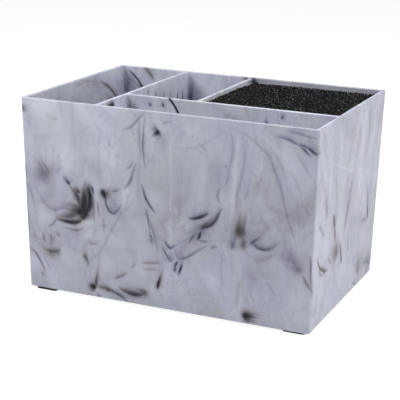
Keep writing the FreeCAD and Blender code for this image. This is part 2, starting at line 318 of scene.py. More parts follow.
FRONT_INK_COMETS = [
    # The hook, and the blue sides of the blotch
    (1.3, 1.9, (-41.8, 72.5), (-36.8, 58.5), -0.5),
    (0.95, 1.4, (-66, 75.6), (-75, 84), 0.3),
    (0.7, 2.4, (-50.5, 68), (-58, 86)),
    (0.4, 4, (-36, 60), (-40, 78), 0.3),
    # A cloud round the brush marks right of the middle
    (0.4, 2.4, (25, 63.4), (33, 72)),
    (0.4, 4.8, (27, 58), (8, 43), 0.5),
    # The smear's left leg, and the crescent's upper end
    (0.55, 2.6, (47.6, 49), (51, 68)),
    (0.6, 1.5, (59.6, 53.6), (69, 62), 0.4),
    # Strokes that leave the top right corner
    (0.45, 1.1, (85.5, 118.5), (76, 121.6), 0),
    (0.25, 3.2, (100, 116), (70, 124), 0.3),
    # The foot of the fan, the W, the fan's dark top, and the foot of the front
    (0.35, 3, (-8, 44), (-11, 62)),
    (0.7, 1.5, (8.6, 27.5), (11.5, 37), 0.3),
    (0.45, 3, (5.5, 34), (2, 47)),
    (1.1, 3, (-3, 116.2), (-10.5, 110), 0.1),
    (0.3, 4, (-30, 4), (-50, 9)),
]
FRONT_MIST_COMETS = [
    # The mauve wedge on the right
    (1.1, 4.2, (91, 41), (74, 49), 0.1),
    (0.8, 3.4, (90, 43), (86, 62), -0.1),
    # Broad veils
    (0.6, 5.5, (58, 56), (83, 64), 0.4),
    (0.45, 3.4, (62, 43), (82, 53)),
    (0.5, 5, (-78, 34), (-90, 44), 0.3),
    (0.35, 8, (55, 33), (84, 29)),
    (0.35, 6, (-83, 76), (-96, 66)),
    (0.4, 7, (-92, 100), (-60, 112)),
    (0.45, 4, (-16, 70), (-18, 118), 0.3),
    (0.5, 4.8, (13, 36), (12, 58), 0.4),
    (0.3, 7, (36, 84), (30, 118), 0.3),
    (0.35, 6, (-40, 16), (-8, 20)),
    (0.3, 9, (96, 74), (60, 84)),
    (0.3, 9, (2, 66), (38, 84), 0.1),
]
FRONT_MIST = [
    # Veils on the left and down the fan, and the lower edge of the mauve wedge
    (0.45, 1, (-91, 68), (-86, 59.5), (-83, 57), (-78, 55.3), (-72, 57.8), (-66, 62), (-61, 67)),
    (0.3, 3, (-98, 114), (-95, 111.5), (-92.5, 109)),
    (0.2, 1.5, (-97.5, 109), (-93, 101.5), (-86, 100), (-79, 100)),
    (0.3, 3.5, (-97, 76), (-86, 77), (-76, 75)),
    (0.35, 1.2, (-76, 80.6), (-73, 83), (-70.5, 85.5)),
    (0.2, 1, (-58, 107.5), (-55, 105), (-52, 104.3)),
    (0.25, 7, (-66, 98), (-56, 102), (-46, 108)),
    (0.3, 1, (-38, 104.6), (-35, 102.6), (-32.5, 101.3)),
    (0.25, 0.9, (-34, 98.4), (-31, 96.6), (-28.5, 96)),
    (0.3, 4, (-78, 37), (-76, 33), (-73, 30)),
    (0.3, 1.3, (-94.5, 43), (-91, 33), (-87.5, 29)),
    (0.3, 3, (-36, 78), (-36, 70), (-33, 64)),
    (0.4, 1.6, (-13.2, 114), (-13, 106), (-12.6, 98)),
    (0.25, 1.8, (-16.3, 126), (-16, 100), (-16, 72)),
    ((0.4, 0.95), (3.4, 2.8), (76, 47.6), (82, 46.8), (87, 45), (90.5, 41.8), (92, 39)),
    # The slanting left side of the pale wedge below the fan
    (0.3, 0.9, (-21, 80), (-26, 64), (-30, 58), (-35, 50), (-40, 40), (-45, 31.5), (-50, 27),
     (-53, 22), (-55.5, 17), (-57.5, 9)),
    (0.35, 1.1, (-44.5, 33), (-46.2, 22), (-47.2, 14), (-48.3, 8)),
    (0.15, 1.2, (-37, 33), (-26, 34.5), (-14, 33.5)),
    (0.15, 1, (-36, 24), (-27, 25.5), (-20, 23)),
    (0.25, 5, (-52, 84), (-48, 86), (-43, 82)),
    # Faint arcs and veils across the middle
    (0.2, 3.5, (-6, 110), (0, 109.5), (6, 110.5)),
    (0.22, 0.9, (4, 106.8), (15, 107.3), (25, 110), (35, 116), (41, 121)),
    (0.3, 2, (-48, 15), (-44, 12), (-41, 9)),
    (0.3, 2.5, (-31, 4.8), (-20, 5), (-9, 7)),
    (0.3, 6, (8, 47), (15, 44), (22, 41)),
    (0.2, 5, (14, 56), (19, 52), (22, 45)),
    # The lobe's right edge and the pale channel beside it
    (0.45, 0.9, (41.5, 126), (44.5, 120), (46, 112), (45.5, 105), (44, 96), (42, 86)),
    (0.45, 1.5, (42.6, 102), (42, 98)),
    (0.4, 1, (43.8, 97), (42.8, 91), (41, 86)),
    (0.25, 3.5, (31.5, 89), (35, 87), (37, 83)),
    ((0.3, 0.6), 1.1, (51.7, 127), (53, 112), (54, 105), (53, 98), (52, 92), (50.5, 86),
     (49.5, 80), (48.5, 72), (46.8, 62)),
    # Fine lines below the channel
    (0.3, 0.9, (41.2, 47), (40, 40), (39, 33), (40, 28), (41, 24), (38, 19.5)),
    (0.2, 1, (46, 43), (47, 35), (48, 30)),
    (0.3, 0.9, (51, 29), (52.2, 20), (50.5, 12), (49.3, 8)),
    (0.3, 0.9, (56.8, 28.5), (59, 22), (61, 17), (63.3, 12.5)),
    # The long arch that runs to the lower right corner
    (0.5, 0.9, (41, 124.3), (48, 121.7), (55, 119.3), (62, 115), (68, 110.3), (71, 106), (74, 98),
     (77, 90), (80, 80), (83, 70), (86, 62), (88, 57), (90, 50), (92, 43)),
    (0.25, 0.9, (57, 122.5), (68, 116), (75, 108), (79, 100), (81, 91), (82.3, 84)),
    (0.3, 0.9, (82.5, 101), (88, 92), (91, 86.5)),
    (0.3, 0.9, (85.5, 112.7), (90, 107), (94, 101.5), (97.5, 98.5)),
    (0.35, 0.9, (90.6, 83), (94, 78), (98.5, 75)),
    (0.2, 3.5, (77, 124.5), (84, 124.3), (91, 123)),
    # Veils round the crescent and below it
    (0.3, 1.3, (60.6, 54.5), (64, 58), (71.5, 66.5)),
    (0.4, 1.3, (53.6, 51), (56, 46.7), (60, 44), (65, 43.4), (69, 45), (76.5, 49.5)),
    (0.25, 4, (58, 34.5), (68, 34), (80, 31)),
    (0.3, 1, (48.5, 31.4), (52, 30.7)),
    (0.3, 0.9, (60.7, 31.8), (63.5, 31.3)),
    (0.35, 0.9, (68, 30.7), (71, 26.5), (76.5, 21.5)),
    (0.2, 0.9, (88, 31), (89, 25), (90.3, 19)),
]
FRONT_MILK_AND_HIGHLIGHT = [
    (0.28, 1.1, (4.2, 128), (5, 96), (5.5, 64), (5, 32), (4.5, 0)),
    (0.5, 2.6, (-47.3, 76), (-47.3, 62), (-46.5, 47)),
    (0.5, 1.8, (48.2, 122), (48.8, 105), (47.6, 88), (46, 70), (45, 55)),
    (0.35, 3, (59, 121.5), (75, 112.3), (83, 103.5), (89, 94)),
    (0.35, 3, (-44, 104), (-40, 96), (-34, 90)),
    (0.35, 2.4, (-73, 92), (-69, 87), (-62, 84)),
    (0.3, 2.5, (-93, 48), (-84, 49), (-78, 54)),
    (0.35, 1.5, (84, 66), (88, 57), (92, 50)),
    (0.3, 3.5, (-30, 66), (-27, 70), (-23, 78)),
    (0.3, 2.2, (-60, 39), (-52, 42), (-44, 41)),
    (0.25, 3.5, (30, 30), (34, 24), (36, 16)),
    (0.25, 3, (12, 20), (14, 12), (13, 4)),
    # Painted highlight down the rounded edge between the front and the right side
    (0.7, 0.8, (99.4, 62), (98.9, 30), (98.5, 2)),
]
SIDE_SOOT = [
    (0.5, 1.2, (-70.5, 114.5), (-66.5, 112.8)),
    (0.4, 1, (-70.5, 123.4), (-68.5, 122.6)),
    (0.6, 1.5, (-34, 68), (-30, 64), (-27.6, 59)),
    (0.35, 1.5, (-28, 59.5), (-26, 50), (-25, 44)),
    (0.4, 1.3, (-25.3, 45), (-22, 37.5)),
    (0.35, 1.2, (-39, 41), (-34, 37), (-29.5, 34.6)),
    ((0.55, 0.95), (0.7, 1.2), (-60, 49), (-58, 44), (-55, 40), (-51, 37), (-46, 34.5),
     (-42, 33.4), (-37, 33)),
    (0.3, 3, (-70, 41), (-67, 30), (-64, 23)),
    (0.35, 2, (40, 12), (50, 11), (57, 9), (64, 5.5)),
    (0.6, 1, (24, 3.5), (29.5, 1.8)),
]
SIDE_SOOT_COMETS = [
    (1, 1.6, (-43, 33.4), (-59, 44), -0.2),
    (0.9, 1.8, (-27.8, 59), (-36, 70)),
    (0.7, 5.5, (-21, 37), (-34, 60), 0.3),
    (0.5, 3, (-21, 38), (-44, 44)),
    (0.8, 2.6, (32, 10.5), (42, 14)),
    (0.4, 8, (33, 12), (48, 36), 0.3),
    (0.4, 5, (-70, 28), (-62, 48), -0.3),
]
SIDE_INK_COMETS = [
    (1.2, 1.4, (48, 45.5), (41, 74), 0.1),
    (1.3, 1.4, (-8.3, 30), (-13.5, 46), -0.2),
    (0.5, 1.2, (6.6, 33), (2, 42), 0),
    (0.35, 1.8, (-50, 59), (-62, 68), -0.2),
]
SIDE_MIST_COMETS = [
    (1, 2.8, (-46, 72), (-60, 106), -0.2),
    (0.8, 2.4, (-26, 50), (-34, 100), 0),
    (1.05, 3.2, (-4, 56), (18, 122), 0.1),
    (0.9, 3, (42, 44), (10, 49)),
    (0.7, 9, (62, 8), (24, 30)),
    (0.35, 8, (50, 60), (50, 112)),
    (0.4, 9, (-20, 36), (-30, 78)),
]
SIDE_INK = [
    (0.3, 1.4, (-60.5, 66.5), (-55.5, 64), (-50.5, 59.5)),
    (0.3, 1.2, (-57, 38.5), (-52, 33.5), (-45, 31)),
    (0.7, 1.3, (-13.3, 44), (-11.5, 38), (-9.5, 33), (-7.6, 30)),
    (0.3, 1.8, (-14.3, 30.5), (-11.7, 27.5)),
    (0.4, 0.9, (2.7, 40.7), (5, 36.5), (7.3, 33.3)),
    (0.35, 0.8, (33.8, 125), (36, 112), (37.2, 102)),
    (0.4, 1.5, (41.7, 71), (45, 58), (48.3, 46)),
    (0.2, 0.8, (59.7, 113), (62.3, 103)),
]
SIDE_MIST = [
    (0.35, 1.8, (-66.5, 112), (-62, 100), (-58, 92), (-53, 84), (-47.5, 73)),
    (0.35, 1.8, (-33.3, 98), (-30, 86), (-28, 78), (-25, 68), (-23.7, 57)),
    (0.35, 2.4, (-38, 48.6), (-32, 42), (-26, 38), (-21.5, 36.7)),
    (0.25, 2.4, (18.3, 125), (14, 110), (10, 98), (6, 86), (3, 80)),
    (0.4, 2, (3.6, 82), (0, 72), (-3, 62), (-4.4, 55)),
    (0.3, 3, (21, 44.7), (30, 47), (38, 47), (45, 43.5)),
    (0.2, 1.5, (-11, 85.2), (-6, 84), (-1, 82.8)),
    (0.3, 1.2, (8, 60), (9.5, 50), (9, 40)),
    (0.3, 1.5, (26, 76), (22, 62), (20, 48)),
]
SIDE_MILK = [
    (0.45, 4.5, (25, 127), (24, 100), (23, 76), (21, 54)),
    (0.3, 0.5, (-66, 109.4), (-45, 103), (-20, 94), (0, 88), (20, 83), (40, 77), (60, 70), (70, 68)),
    (0.3, 4, (-48, 60), (-44, 50), (-46, 40)),
    (0.3, 3, (-4, 40), (-4, 24), (-8, 8)),
]
# Marks on the faces inside the bays. A face is (axis it crosses, its place on that axis), and its
# points are (place along the face, height). An arc is (strength, half width, bow, start, end): its
# middle stands out by the bow, to the left of the way from start to end.
LEFT_WALL = ("x", -97.5)
BACK_WALL = ("y", 68)
LONG_DIVIDER = ("x", -45.7)
CROSS_DIVIDER = ("y", -28.6)
SHORT_DIVIDER = ("x", 5.1)
INNER_SOOT_COMETS = {
    LEFT_WALL: [
        (1, 1.3, (57.5, 104.5), (46, 116), 0.1),
        (0.4, 5, (50, 104), (24, 114), 0.3),
        (0.2, 6, (0, 110), (-60, 124)),
    ],
    LONG_DIVIDER: [
        (0.7, 1.2, (50.6, 112), (50.2, 121)),
        (1.7, 2.2, (-48.2, 123.6), (-62, 127.6), 0.1),
    ],
}
INNER_SOOT_ARCS = {
    LEFT_WALL: [
        (0.6, 1.2, 2.8, (28, 122.8), (60, 102)),
        (0.17, 1.6, 9, (-14, 121), (52, 108.6)),
        (0.13, 1.4, 7, (0, 119), (45, 108)),
    ],
    BACK_WALL: [
        (0.42, 1.6, 0.9, (-83, 130), (-72, 118)),
    ],
}
INNER_INK_AND_SHADOW_COMETS = {
    # Painted shadows in the back wall's left corners, the long streak on the back wall, and a smudge
    # at the short divider's end
    BACK_WALL: [
        (0.5, 3.2, (-95, 109), (-94.4, 140), 0.1),
        (0.7, 3.2, (-43.2, 106), (-42.2, 138), 0.1),
        (1, 1, (-82.5, 113.4), (-89, 121), 0),
        (0.9, 1.9, (8, 123.8), (-4, 127.6), 0.1),
        (0.8, 1.5, (1, 126), (-8, 129.5), 0.1),
    ],
    # Upright streaks on the long divider in the middle bay
    LONG_DIVIDER: [
        (0.6, 1.1, (3, 123), (2.4, 131)),
        (0.7, 1.1, (14.7, 119), (14.2, 129)),
        (0.7, 1.1, (27.7, 116), (27.3, 126)),
        (0.5, 1.3, (39, 112), (38, 125)),
        (1.1, 1.2, (59.4, 107), (58.6, 124)),
    ],
    # The cross divider's front: a painted shadow in its left corner, and ticks
    CROSS_DIVIDER: [
        (0.5, 3.4, (-43.3, 112), (-42.5, 140), 0.1),
        (0.75, 1.2, (-28.4, 122), (-32.4, 127), 0.1),
        (0.85, 1.1, (-19.4, 122.6), (-21.6, 129), 0.1),
        (0.3, 1.8, (24, 120), (32, 128)),
        (0.55, 1.3, (51.7, 118.6), (50.4, 126), 0.1),
        (0.65, 1.3, (61.4, 123), (65.4, 129), 0.1),
        (0.35, 5, (20, 112), (60, 126)),
    ],
    SHORT_DIVIDER: [
        (1, 2.4, (69, 126), (50, 128.4), 0),
    ],
}
INNER_INK_ARCS = {
    BACK_WALL: [
        (0.75, 0.9, 1.4, (-95.6, 126.2), (-79.8, 110.5)),
        (0.3, 0.9, 0.6, (-94, 121.5), (-82, 110)),
    ],
    # The black line that bends down over the cross divider's rim
    CROSS_DIVIDER: [
        (1.6, 0.6, 1.7, (-19.5, 131.5), (-7, 114.5)),
    ],
}
# The marks of each pigment: strokes and comets on the front and back, then on the sides
OUTER_MARKS = {
    "mist": ((FRONT_MIST, FRONT_MIST_COMETS), (SIDE_MIST, SIDE_MIST_COMETS)),
    "milk_and_highlight": ((FRONT_MILK_AND_HIGHLIGHT, ()), (SIDE_MILK, ())),
    "soot": ((FRONT_SOOT, FRONT_SOOT_COMETS), (SIDE_SOOT, SIDE_SOOT_COMETS)),
    "ink_and_shade": ((FRONT_INK_AND_SHADE, FRONT_INK_COMETS), (SIDE_INK, SIDE_INK_COMETS)),
}
# Comets and arcs on the inner faces
INNER_MARKS = {
    "soot": (INNER_SOOT_COMETS, INNER_SOOT_ARCS),
    "ink_and_shade": (INNER_INK_AND_SHADOW_COMETS, INNER_INK_ARCS),
}
# How far off an inner face its marks still count
INNER_REACH = 1.3
# A stroke is drawn wider than its half width, in steps, and cut where its slope gets steep. It
# tapers off at both ends, where it keeps a share of its width.
STROKE_SPREAD = 1.25
SAMPLE_STEP = 2
STEEPEST = 2.2
TAPER_START = 0.03
TAPER_POWER = 0.8
END_WIDTH = 0.4
# Entries of a curve table, and those between two strokes in it and at a stroke's ends
TABLE_SIZE = 256
LANE_GAP = 3
TABLE_EDGE = 0.6
# Level strokes are soft above and crisp below.
SOFT_ABOVE = 0.62
CRISP_BELOW = 1.25
# How fast a mark fades away from its middle
FALL_OFF = 1.6
# A comet's flare, the share that it keeps of its width, how dense and how ragged its fibres
# are, and where its head begins and its tail ends, in shares of its length
USUAL_FLARE = 0.2
NARROWEST = 0.15
FIBRES_ALONG = 0.5
FIBRES_ACROSS = 1.6
FIBRE_SEED = 7.3
RAGGED = 0.6
HEAD_FADE = (-0.2, 0.1)
TAIL_FADE = (-0.1, 0.95)
# Where an arc begins and ends, in shares of its chord
ARC_START = (-0.05, 0.35)
ARC_END = (0.75, 1.05)


def smooth_line(points, step):
    """A smooth line through the points, with samples about one step apart."""
    ends = [points[0], *points, points[-1]]
    line = []
    for before, start, end, after in zip(ends, ends[1:], ends[2:], ends[3:]):
        count = max(1, round(math.dist(start, end) / step))
        line += [spline_point(before, start, end, after, i / count) for i in range(count)]
    return [*line, points[-1]]


def spline_point(before, start, end, after, t):
    """A Catmull-Rom spline's point between start and end."""
    def along(a, b, c, d):
        return 0.5 * (2 * b + (c - a) * t + (2 * a - 5 * b + 4 * c - d) * t * t
                      + (3 * b - a - 3 * c + d) * t ** 3)
    return tuple(along(*parts) for parts in zip(before, start, end, after))


def run_length(line, axis):
    """How many steps of the line keep one direction along the axis without turning steep."""
    other = 1 - axis
    sign = 0
    for i in range(len(line) - 1):
        forward = line[i + 1][axis] - line[i][axis]
        sideways = line[i + 1][other] - line[i][other]
        sign = sign or math.copysign(1, forward)
        if forward * sign <= 0 or abs(sideways) > STEEPEST * abs(forward):
            return i
    return len(line) - 1


def level_and_steep(samples):
    """Cuts a line into pieces that are single-valued across the wall (axis 0) or up it (axis 1)."""
    pieces = []
    start = 0
    while start < len(samples) - 1:
        rest = [s[:2] for s in samples[start:]]
        lengths = [run_length(rest, axis) for axis in (0, 1)]
        axis = 0 if lengths[0] >= lengths[1] else 1
        end = start + max(1, lengths[axis])
        piece = samples[start:end + 1]
        if piece[0][axis] > piece[-1][axis]:
            piece = piece[::-1]
        pieces.append((axis, piece))
        start = end
    return pieces


def stroke_samples(strength, half_width, *points):
    """Samples (across, up, half width, strength), fading in and out at the stroke's ends."""
    line = smooth_line(points, SAMPLE_STEP)
    last = len(line) - 1
    samples = []
    for i, (across, up) in enumerate(line):
        place = TAPER_START + (1 - 2 * TAPER_START) * i / last
        taper = math.sin(math.pi * place) ** TAPER_POWER
        narrowing = END_WIDTH + (1 - END_WIDTH) * taper
        width = between(half_width, i / last) * STROKE_SPREAD * narrowing
        samples.append((across, up, width, between(strength, i / last) * taper))
    return samples


def between(value, share):
    """A number as it is, or the blend of a pair of numbers."""
    if isinstance(value, tuple):
        return value[0] + (value[1] - value[0]) * share
    return value


def pack_lanes(pieces, size):
    """Shares pieces out to lanes in which none overlaps another along the lane."""
    lanes = []
    gap = LANE_GAP * size / TABLE_SIZE
    for piece in sorted(pieces, key=lambda samples: samples[0][0]):
        free = [lane for lane in lanes if lane[-1][-1][0] + gap < piece[0][0]]
        if free:
            free[0].append(piece)
        else:
            lanes.append([piece])
    return lanes


def lane_points(lane, low, size, other_low, other_size):
    """A lane's curve points, in shares of the wall: (along, centre, half width, strength)."""
    edge = TABLE_EDGE / TABLE_SIZE
    points = []
    for piece in lane:
        rows = []
        for i, (along, centre, half_width, strength) in enumerate(piece):
            before, after = piece[max(i - 1, 0)], piece[min(i + 1, len(piece) - 1)]
            slope = (after[1] - before[1]) / max(after[0] - before[0], 0.01)
            reach = half_width * math.hypot(1, slope) / other_size
            rows.append(((along - low) / size, (centre - other_low) / other_size, reach, strength))
        first, last = rows[0], rows[-1]
        rows.insert(0, (first[0] - edge, *first[1:3], 0))
        rows.append((last[0] + edge, *last[1:3], 0))
        points += [row for row in rows if 0 < row[0] < 1]
    return points


def thinned(group, strength, offset):
    """A mark's strength at an offset from its middle, which is in half widths."""
    spread = group.math("POWER", group.scaled(offset, offset, 1), FALL_OFF)
    return group.over(strength, spread)


def stroke_group():
    """How strongly a stroke stains a point, from its shape there: centre, width and strength."""
    group = Group("stroke", Across="Float", Shape="Color", Soft="Float", Crisp="Float")
    across, shape, soft, crisp = group.inputs
    centre, half_width, strength = group.add("SeparateColor", {0: shape}).node.outputs
    offset = group.over(group.minus(across, centre), half_width)
    above = group.times(offset, soft)
    below = group.times(group.times(offset, crisp), -1)
    return group.give(thinned(group, strength, group.larger(above, below)))


def lane_mask(graph, stroke, along, across, points, level):
    """How strongly a lane's strokes stain each point; level ones are crisp below."""
    shape = graph.add("RGBCurve", {"Color": along})
    mapping = shape.node.mapping
    mapping.extend = "HORIZONTAL"
    for channel in range(3):
        curve = mapping.curves[channel]
        for point in points:
            curve.points.new(point[0], point[1 + channel])
        ends = (points[0], points[-1])
        for place, end, value in zip((0, 1), (curve.points[0], curve.points[-1]), ends):
            end.location = (place, 0 if channel == 2 else value[1 + channel])
        for point in curve.points:
            point.handle_type = "VECTOR"
    mapping.update()
    edges = (SOFT_ABOVE, CRISP_BELOW) if level else (1, 1)
    return graph.use(stroke, across, shape, *edges)


def strongest(graph, masks):
    result = masks[0]
    for mask in masks[1:]:
        result = graph.larger(result, mask)
    return result


def stroke_mask(graph, stroke, strokes, across, up, half):
    """How strongly all strokes stain a wall; across and up are shares of the wall's size."""
    pieces = ([], [])
    for line in strokes:
        for axis, piece in level_and_steep(stroke_samples(*line)):
            turned = [(s[axis], s[1 - axis], s[2], s[3]) for s in piece]
            pieces[axis].append(turned)
    mask = 0
    spans = ((-half, 2 * half), (0, WALL_HEIGHT))
    for axis, (along, other) in enumerate(((across, up), (up, across))):
        low, size = spans[axis]
        other_low, other_size = spans[1 - axis]
        place = graph.add("CombineColor", {0: along, 1: along, 2: along})
        for lane in pack_lanes(pieces[axis], size):
            points = lane_points(lane, low, size, other_low, other_size)
            lane = lane_mask(graph, stroke, place, other, points, axis == 0)
            mask = graph.larger(mask, lane)
    return mask


def comet_group():
    """A mark that is darkest at its head and runs out in fibres towards its tail."""
    group = Group("comet", Place="Vector", Head="Vector", Forward="Vector", Sideways="Vector",
                  Flare="Float", Strength="Float", Seed="Float")
    place, head, forward, sideways, flare, strength, seed = group.inputs
    offset = group.vector("SUBTRACT", place, head)
    along = group.vector("DOT_PRODUCT", offset, forward, output=1)
    across = group.vector("DOT_PRODUCT", offset, sideways, output=1)
    across = group.over(across, group.larger(group.scaled(along, flare, 1), NARROWEST))
    fibre = group.scaled(along, FIBRES_ALONG, group.scaled(across, FIBRES_ACROSS, seed))
    inputs = {"W": fibre, "Scale": 1, "Detail": 3}
    fibres = group.add("TexNoise", inputs, noise_dimensions="1D")
    ragged = group.scaled(fibres, -RAGGED, group.plus(along, RAGGED / 2))
    thinning = group.fade(ragged, *TAIL_FADE, 1, 0)
    head_end = group.fade(along, *HEAD_FADE)
    body = group.times(head_end, group.times(thinning, thinning))
    return group.give(thinned(group, group.times(body, strength), across))


def comet_inputs(strength, half_width, head, tail, flare=USUAL_FLARE):
    """What the comet group needs to know of a comet."""
    run = Vector((*tail, 0)) - Vector((*head, 0))
    sideways = Vector((-run.y, run.x, 0)) / (run.length * half_width)
    forward = run / run.length_squared
    return (*head, 0), forward, sideways, flare, strength, FIBRE_SEED * head[0]


def arc_group():
    """A line along the arc of a circle that fades out at both ends."""
    group = Group("arc", Place="Vector", Centre="Vector", Radius="Float", Width="Float",
                  Start="Vector", Chord="Vector", Bulge="Vector", Strength="Float")
    place, centre, radius, width, start, chord, bulge, strength = group.inputs
    spoke = group.vector("SUBTRACT", place, centre)
    distance = group.vector("LENGTH", spoke, output=1)
    offset = group.over(group.minus(distance, radius), width)
    run = group.vector("SUBTRACT", place, start)
    share = group.vector("DOT_PRODUCT", run, chord, output=1)
    ends = group.times(group.fade(share, *ARC_START), group.fade(share, *ARC_END, 1, 0))
    near = group.fade(group.vector("DOT_PRODUCT", spoke, bulge, output=1), 0, 0.2)
    body = group.times(group.times(ends, near), strength)
    return group.give(thinned(group, body, offset))


def arc_inputs(strength, half_width, bow, start, end):
    """What the arc group needs to know of an arc."""
    start, end = Vector((*start, 0)), Vector((*end, 0))
    way = end - start
    outward = Vector((-way.y, way.x, 0)).normalized() * math.copysign(1, bow)
    radius = (way.length_squared / 4 + bow * bow) / (2 * abs(bow))
    centre = (start + end) / 2 + outward * (abs(bow) - radius)
    chord = way / way.length_squared
    return centre, radius, half_width, start, chord, outward / radius, strength


def mark_mask(graph, kind, marks, across, up):
    """How strongly the comets or arcs stain a wall; across and up are in millimetres."""
    group, inputs_of = kind
    plane = graph.join(across, up, 0)
    mask = 0
    for mark in marks:
        mask = graph.larger(mask, graph.use(group, plane, *inputs_of(*mark)))
    return mask


def inner_mask(graph, kind, faces, wall):
    """How strongly the comets or arcs mark the inner faces, painted corner shadows among them."""
    x, y, height = wall["place"]
    mask = 0
    for (axis, at), marks in faces.items():
        across, along = (x, y) if axis == "x" else (y, x)
        near = graph.math("COMPARE", across, at, INNER_REACH)
        on_face = graph.times(mark_mask(graph, kind, marks, along, height), near)
        mask = graph.larger(mask, on_face)
    return graph.times(mask, wall["inside"])


# Marbled plastic

PALE = (0.460, 0.474, 0.548)
LAVENDER = (0.424, 0.433, 0.535)
GREYER = (0.460, 0.474, 0.534)
# What a pigment lets through of each colour, from none of it to all of it
SOOT_STOPS = [(0, (1, 1, 1)), (0.3, (0.60, 0.565, 0.555)), (0.65, (0.215, 0.2, 0.2)),
              (1, (0.026, 0.025, 0.033))]
# Ink's stops also paint the shade down the front's left edge and the shadows in the inner corners.
INK_AND_SHADE_STOPS = [(0, (1, 1, 1)), (0.3, (0.575, 0.585, 0.645)), (0.65, (0.205, 0.213, 0.262)),
             (1, (0.024, 0.027, 0.042))]
MIST_STOPS = [(0, (1, 1, 1)), (0.5, (0.70, 0.685, 0.73)), (1, (0.36, 0.335, 0.39))]
# Milk's colour also paints the highlight down the front's right edge.
MILK_AND_HIGHLIGHT = (0.70, 0.715, 0.79)
MILK_AND_HIGHLIGHT_SHARE = 0.8
# How far the marks wander, and how much further on the walls behind
WANDER = 3.2
UNSEEN_WANDER = 34
# A streaky stain is at most this much stronger than drawn.
MOST = 1.15
# The veins of the haze: scale, sharpness, scale of their patches, stretch up the wall, strength
VEINS = (
    (0.035, 22, 0.025, 0.6, 0.32),
    (0.075, 38, 0.045, 0.35, 0.34),
    (0.15, 40, 0.035, 0.45, 0.3),
)
# Painted light: what is added to the colour of the inner faces, as if light came through the
# walls. The wall behind the bristles, which begins at this x and y, gets none of it: painted shade.
THROUGH_LEFT_WALL = 0.22
THROUGH_WALLS = 0.33
BLUE_LOST = 0.03
BRISTLE_BAY_X = 5.5
BRISTLE_BAY_Y = 66


def depth_in_wall(graph, place, lean, half, full_lean):
    """How far a point lies inside the outer face of the nearer of two opposite walls."""
    return graph.minus(half, graph.scaled(lean, full_lean, graph.math("ABSOLUTE", place)))


def wall_coordinates(graph, position):
    """The place of a point, the wall that it is on, and whether that is on the outside."""
    x, y, z = graph.split(position)
    up = graph.minus(z, tub_low.z / MM)
    lean = graph.minus(1, graph.over(up, WALL_HEIGHT))
    to_side = depth_in_wall(graph, x, lean, HALF_WIDTH, SIDE_LEAN)
    to_face = depth_in_wall(graph, y, lean, HALF_DEPTH, FACE_LEAN)
    on_side = graph.math("LESS_THAN", to_side, to_face)
    nearest = graph.math("MINIMUM", to_side, to_face)
    outside = graph.fade(nearest, WALL * 0.4, WALL * 0.6, 1, 0)
    behind = graph.math("GREATER_THAN", y, 0)
    leftward = graph.math("LESS_THAN", x, 0)
    on_face = graph.minus(1, on_side)
    unseen = graph.plus(graph.times(on_side, leftward), graph.times(on_face, behind))
    return {"place": (x, y, up), "on_side": on_side, "unseen": unseen, "outside": outside,
            "inside": graph.minus(1, outside)}


def drifted(graph, position, unseen):
    """The point, carried a little off as by eddies in the melt, and far off on the walls behind."""
    eddies = graph.noise(position, 0.045, detail=1.5, roughness=0.5, output=1)
    offset = graph.vector("SUBTRACT", eddies, (0.5, 0.5, 0.5))
    reach = graph.scaled(unseen, UNSEEN_WANDER, WANDER)
    return graph.vector("MULTIPLY_ADD", offset, graph.join(reach, reach, reach), position)


def uneven(graph, position, mask):
    """Thins a stain in streaks where it is weak, and leaves its dark heart whole."""
    stretched = graph.vector("MULTIPLY", position, (1, 1, 0.5))
    streaks = graph.noise(stretched, 0.17, detail=3, roughness=0.6)
    share = graph.plus(graph.fade(streaks, 0.3, 0.66, 0.55, MOST), mask)
    return graph.times(mask, graph.math("MINIMUM", share, MOST), clamp=True)


def smoke(graph, position):
    """The plastic's pale ground: soft clouds of lavender and grey, drawn out up the wall."""
    stretched = graph.vector("MULTIPLY", position, (1, 1, 0.6))
    clouds = graph.noise(stretched, 0.03, detail=4, roughness=0.55, distortion=1.4)
    tints = graph.noise(stretched, 0.034, distortion=1.2, output=1)
    tint, _, streak = graph.split(tints)
    colour = graph.mix(graph.fade(tint, 0.36, 0.66), PALE + (1,), LAVENDER + (1,))
    colour = graph.mix(graph.fade(streak, 0.4, 0.7), colour, GREYER + (1,))
    light = graph.fade(clouds, 0.3, 0.7, 0.88, 1.1)
    return graph.vector("MULTIPLY", colour, graph.join(light, light, light))


def painted_front_shading(graph, place, on_side, outside):
    """Painted shading on the front: palest at its upper left, nearest the left lamp, and darkest at
    half height on the right.
    """
    x, _, height = place
    leftward = graph.fade(x, -50, 15, 1, 0)
    high = graph.fade(height, 70, 105)
    low = graph.fade(height, 8, 48, 1, 0)
    left = graph.scaled(high, 0.18, graph.scaled(low, 0.02, 0.98))
    right = graph.scaled(high, 0.07, graph.scaled(low, 0.12, 0.88))
    front_shading = graph.add("Mix", {0: leftward, 2: right, 3: left})
    on_front = graph.times(graph.minus(1, on_side), outside)
    return graph.scaled(on_front, graph.minus(front_shading, 1), 1)


